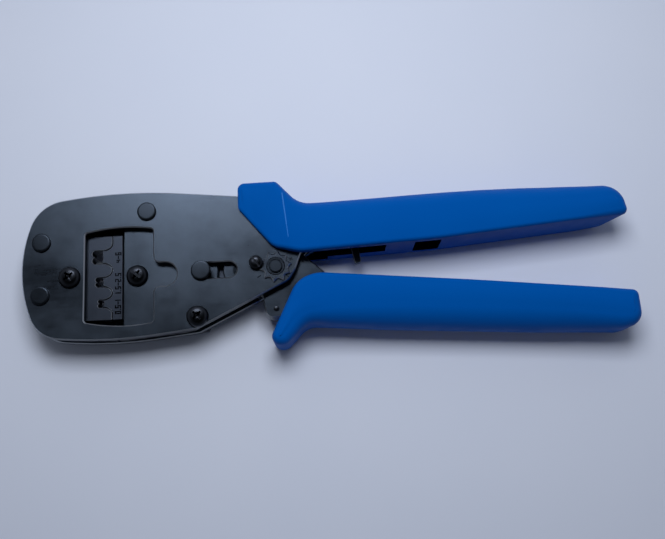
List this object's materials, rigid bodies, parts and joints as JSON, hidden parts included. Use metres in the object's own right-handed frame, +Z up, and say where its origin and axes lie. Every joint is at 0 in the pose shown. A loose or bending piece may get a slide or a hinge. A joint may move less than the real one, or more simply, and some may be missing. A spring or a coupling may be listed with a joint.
{
  "type": "ratchet crimping tool",
  "caption": "Hand tool with black steel head, crimp dies in a window, toggle-driven ram, ratchet and two blue moulded grips.",
  "frame": {"origin": "centre of the footprint, on the surface that the tool lies on", "axes": "+X from the head to the ends of the grips, +Y from the moving grip to the fixed grip, +Z up out of the front plate"},
  "size_m": [0.224, 0.0622, 0.02],
  "materials": {
    "black_oxide_plate": "black oxide, satin, lightly rubbed",
    "black_oxide_fastener": "black oxide, semi-gloss",
    "ground_die_steel": "hardened, ground and blackened",
    "spring_wire": "drawn spring wire, oiled",
    "blue_grip": "moulded, satin"
  },
  "bodies": {
    "frame": {"front_frame_plate": "black_oxide_plate", "back_frame_plate": "black_oxide_plate", "nose_block": "black_oxide_plate", "upper_guide_rail": "black_oxide_plate", "lower_guide_rail": "black_oxide_plate", "nose_rivet_upper": "black_oxide_plate", "nose_rivet_lower": "black_oxide_plate", "top_rivet": "black_oxide_plate", "nose_screw": "black_oxide_fastener", "nose_nut": "black_oxide_fastener", "lower_screw": "black_oxide_fastener", "lower_nut": "black_oxide_fastener", "tang_post_1": "black_oxide_plate", "tang_post_2": "black_oxide_plate", "fixed_die": "ground_die_steel", "handle_pivot_pin": "black_oxide_fastener", "adjuster_wheel": "black_oxide_plate", "lock_screw": "black_oxide_fastener", "pawl_pin": "black_oxide_fastener", "pawl_spring": "spring_wire", "return_spring": "spring_wire", "spring_post": "black_oxide_fastener", "upper_grip": "blue_grip"},
    "handle": {"handle_front_plate": "black_oxide_plate", "handle_back_plate": "black_oxide_plate", "ratchet_plate": "ground_die_steel", "crank_pin": "black_oxide_fastener", "spring_pin": "black_oxide_fastener", "heel_rivet": "black_oxide_fastener", "handle_rivet_1": "black_oxide_plate", "handle_rivet_2": "black_oxide_plate", "lower_grip": "blue_grip"},
    "link": {"toggle_link": "ground_die_steel"},
    "ram": {"ram_front_plate": "black_oxide_plate", "ram_back_plate": "black_oxide_plate", "ram_screw": "black_oxide_fastener", "moving_die": "ground_die_steel", "toggle_pin": "black_oxide_fastener", "toggle_pin_clip": "spring_wire"},
    "pawl": {"pawl": "ground_die_steel"}
  },
  "joints": [
    {"name": "handle_pivot", "type": "hinge", "parent": "frame", "child": "handle", "pos_m": [-0.01915, -0.00151, 0.01], "axis": [0, 0, 1], "range_deg": [-42, 0], "deforming": ["return_spring"]},
    {"name": "link_pivot", "type": "hinge", "parent": "handle", "child": "link", "pos_m": [-0.03285, -0.00151, 0.01], "axis": [0, 0, 1], "range_deg": [0, 84]},
    {"name": "ram_pivot", "type": "hinge", "parent": "link", "child": "ram", "pos_m": [-0.04655, -0.00151, 0.01], "axis": [0, 0, 1], "range_deg": [-42, 0]},
    {"name": "pawl_pivot", "type": "hinge", "parent": "frame", "child": "pawl", "pos_m": [0.00335, 0.01299, 0.01], "axis": [0, 0, 1], "range_deg": [0, 12], "stiffness_Nm_per_rad": 0.02}
  ],
  "couplings": [
    {"joint": "link_pivot", "follows": "handle_pivot", "ratio": -2},
    {"joint": "ram_pivot", "follows": "handle_pivot", "ratio": 1}
  ]
}
